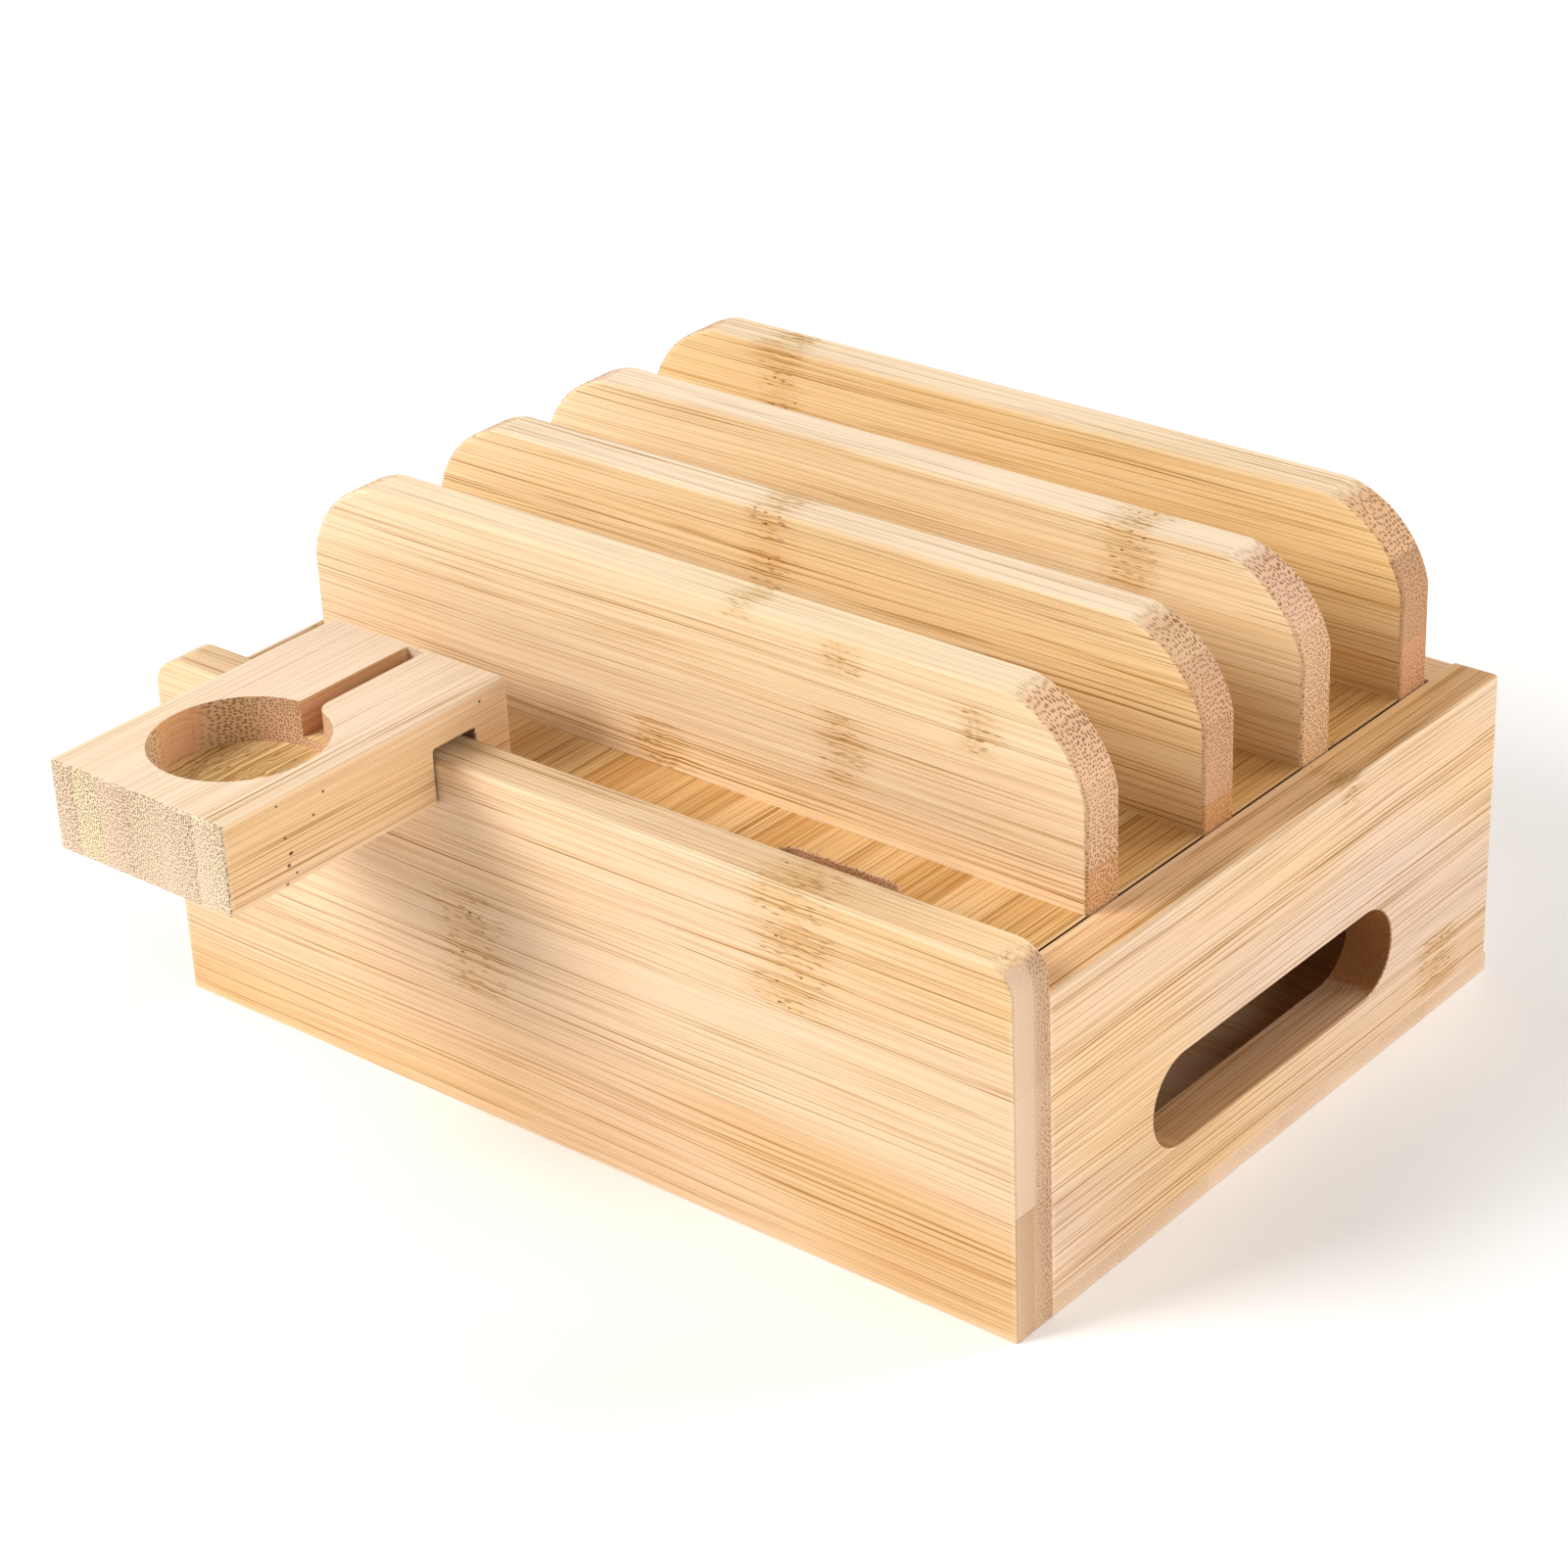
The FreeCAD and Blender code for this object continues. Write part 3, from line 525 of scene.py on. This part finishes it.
# its top takes a pale tone as painted light, its notch faces are painted shade, its recess walls take a scorch colour
# deepened as painted shade, and its recess floor a golden tone lightened as painted light
dress("watch_stand", bamboo(
    "bamboo_stand", "watch_stand", (Y, X, Z),
    [(-68, 0.08, 0.8, 0.9), (-59.3, 0.03, 0.8, 0.2), (-53.3, 0.10, 0.7, 0.5), (-46.5, 0.05, 0.8, -0.4), (-39.4, 0.09, 0.7, 0.6), (-31.0, -0.03, 1.6, 0.9)], -22.0,
    seed=12.0, rose=1.2, rose_tone=(0.785, 0.560, 0.425), dots=DOT_GREEN, end_tone=(0.680, 0.530, 0.360), bore=Z, scorch_and_shade=(0.50, 0.32), scorch_and_shade_tone=(0.540, 0.205, 0.052), end_dots=2.9,
    tints=[(0.750, 0.560, 0.415), (0.725, 0.605, 0.385), (0.730, 0.530, 0.385), (0.715, 0.540, 0.380), (0.725, 0.550, 0.400), (0.725, 0.580, 0.405)],
    cell=0.54, notch=(d(-0.9), d(9.9), 68.6), calm=d(13.0),
    long_line=110.0, floor_lines=1.8, top_light_and_shade=(Z, (0.875, 0.700, 0.540), 0.65, 73.0), knots=[(d(-24), -66, -22, 13.0, 1.0, 2.0, 0)],
    fleck=[(d(-34.0), -24.4, 66.9, 0.30), (d(-33.1), -24.4, 63.8, 0.45), (d(-33.8), -24.4, 61.9, 0.40), (d(-32.3), -24.4, 60.0, 0.28),
           (d(-34.5), -24.4, 58.8, 0.35), (d(-25.1), -24.4, 71.4, 0.32), (d(-27.6), -24.4, 68.3, 0.30), (d(-35.1), -24.4, 73.0, 0.28),
           (d(11.0), -24.4, 72.5, 0.32)]))


# -------------------------------------------------------- hidden small parts
def beech():
    g = Net("dowel_beech")
    tc = g.node("ShaderNodeTexCoord")
    n = g.noise(tc.outputs["Object"], scale=900.0, detail=3.0)
    c = g.mix(n, (0.55, 0.36, 0.20), (0.74, 0.55, 0.36))
    return g.shader(c, g.madd(n, 0.2, 0.5), g.bump(n, 0.4, 0.0001))


def steel():
    g = Net("screw_steel")
    tc = g.node("ShaderNodeTexCoord")
    n = g.noise(tc.outputs["Object"], scale=1400.0, detail=4.0, rough=0.6)
    p = g.noise(tc.outputs["Object"], scale=350.0, detail=2.0)
    c = g.mix(n, (0.46, 0.44, 0.40), (0.68, 0.66, 0.61))
    c = g.mix(g.span(p, 0.5, 0.8), c, (0.62, 0.55, 0.36))
    return g.shader(c, g.madd(n, 0.22, 0.22), g.bump(n, 0.3, 0.00003), Metallic=1.0)


dress("corner_dowels", beech())
screw = steel()
for n in ("bottom_screws", "cleat_screws", "divider_screws"):
    dress(n, screw)

# ------------------------------------------------------------------- camera
F_PX = 3940.48355
RIGHT = Vector((0.7715333685779711, 0.6349660845353003, -0.03942502581658025))
DOWN = Vector((0.2684709784476995, -0.38114277379477324, -0.8846770708656131))
AHEAD = Vector((-0.5767664994623588, 0.6719734053323358, -0.46453433417132994))
cam_data = bpy.data.cameras.new("camera")
cam = bpy.data.objects.new("camera", cam_data)
scene.collection.objects.link(cam)
cam_data.sensor_fit = "HORIZONTAL"
cam_data.sensor_width = 36.0
cam_data.lens = 36.0 * F_PX / 1601.0
cam_data.clip_start, cam_data.clip_end = 0.02, 20.0
rot = Matrix((RIGHT, -DOWN, -AHEAD)).transposed()
cam.matrix_world = Matrix.Translation((0.38381770, -0.45854929, 0.35319186)) @ rot.to_4x4()
scene.camera = cam

# ---------------------------------------------------------- floor and light
mesh = bpy.data.meshes.new("floor")
s = 6.0
mesh.from_pydata([(-s, -s, -0.0001), (s, -s, -0.0001), (s, s, -0.0001), (-s, s, -0.0001)], [], [(0, 1, 2, 3)])
floor = bpy.data.objects.new("floor", mesh)
scene.collection.objects.link(floor)
g = Net("floor_pale")
tc = g.node("ShaderNodeTexCoord")
fn = g.noise(tc.outputs["Object"], scale=40.0, detail=2.0)
mesh.materials.append(g.shader(g.mix(fn, (0.945, 0.948, 0.952), (0.965, 0.968, 0.972)), 0.7, None))

world = bpy.data.worlds.new("studio")
scene.world = world
world.use_nodes = True
bg = world.node_tree.nodes.get("Background") or world.node_tree.nodes.new("ShaderNodeBackground")
bg.inputs[0].default_value = (1.0, 0.99, 0.975, 1.0)
bg.inputs[1].default_value = 0.07


def area(name, loc, target, size, power, colour=(1, 1, 1)):
    data = bpy.data.lights.new(name, "AREA")
    data.shape = "RECTANGLE"
    data.size, data.size_y = size
    data.energy = power
    data.color = colour
    o = bpy.data.objects.new(name, data)
    scene.collection.objects.link(o)
    o.location = loc
    o.rotation_euler = (Vector(target) - Vector(loc)).to_track_quat("-Z", "Y").to_euler()
    return o


area("key", (-0.705, -1.006, 0.900), (0, 0, 0.04), (0.75, 0.75), 25.8, (1.0, 0.985, 0.96))
area("left", (-1.450, 0.127, 0.403), (0, 0, 0.04), (1.1, 1.1), 10.0, (1.0, 0.985, 0.965))
area("right", (1.400, 0.000, 0.580), (0, 0, 0.04), (1.1, 1.1), 11.9, (1.0, 0.985, 0.965))
area("back", (0.550, 1.250, 0.750), (0.1, 0.1, 0.0), (1.1, 1.1), 19.5, (1.0, 0.99, 0.97))

scene.view_settings.view_transform = "Standard"
scene.view_settings.look = "None"
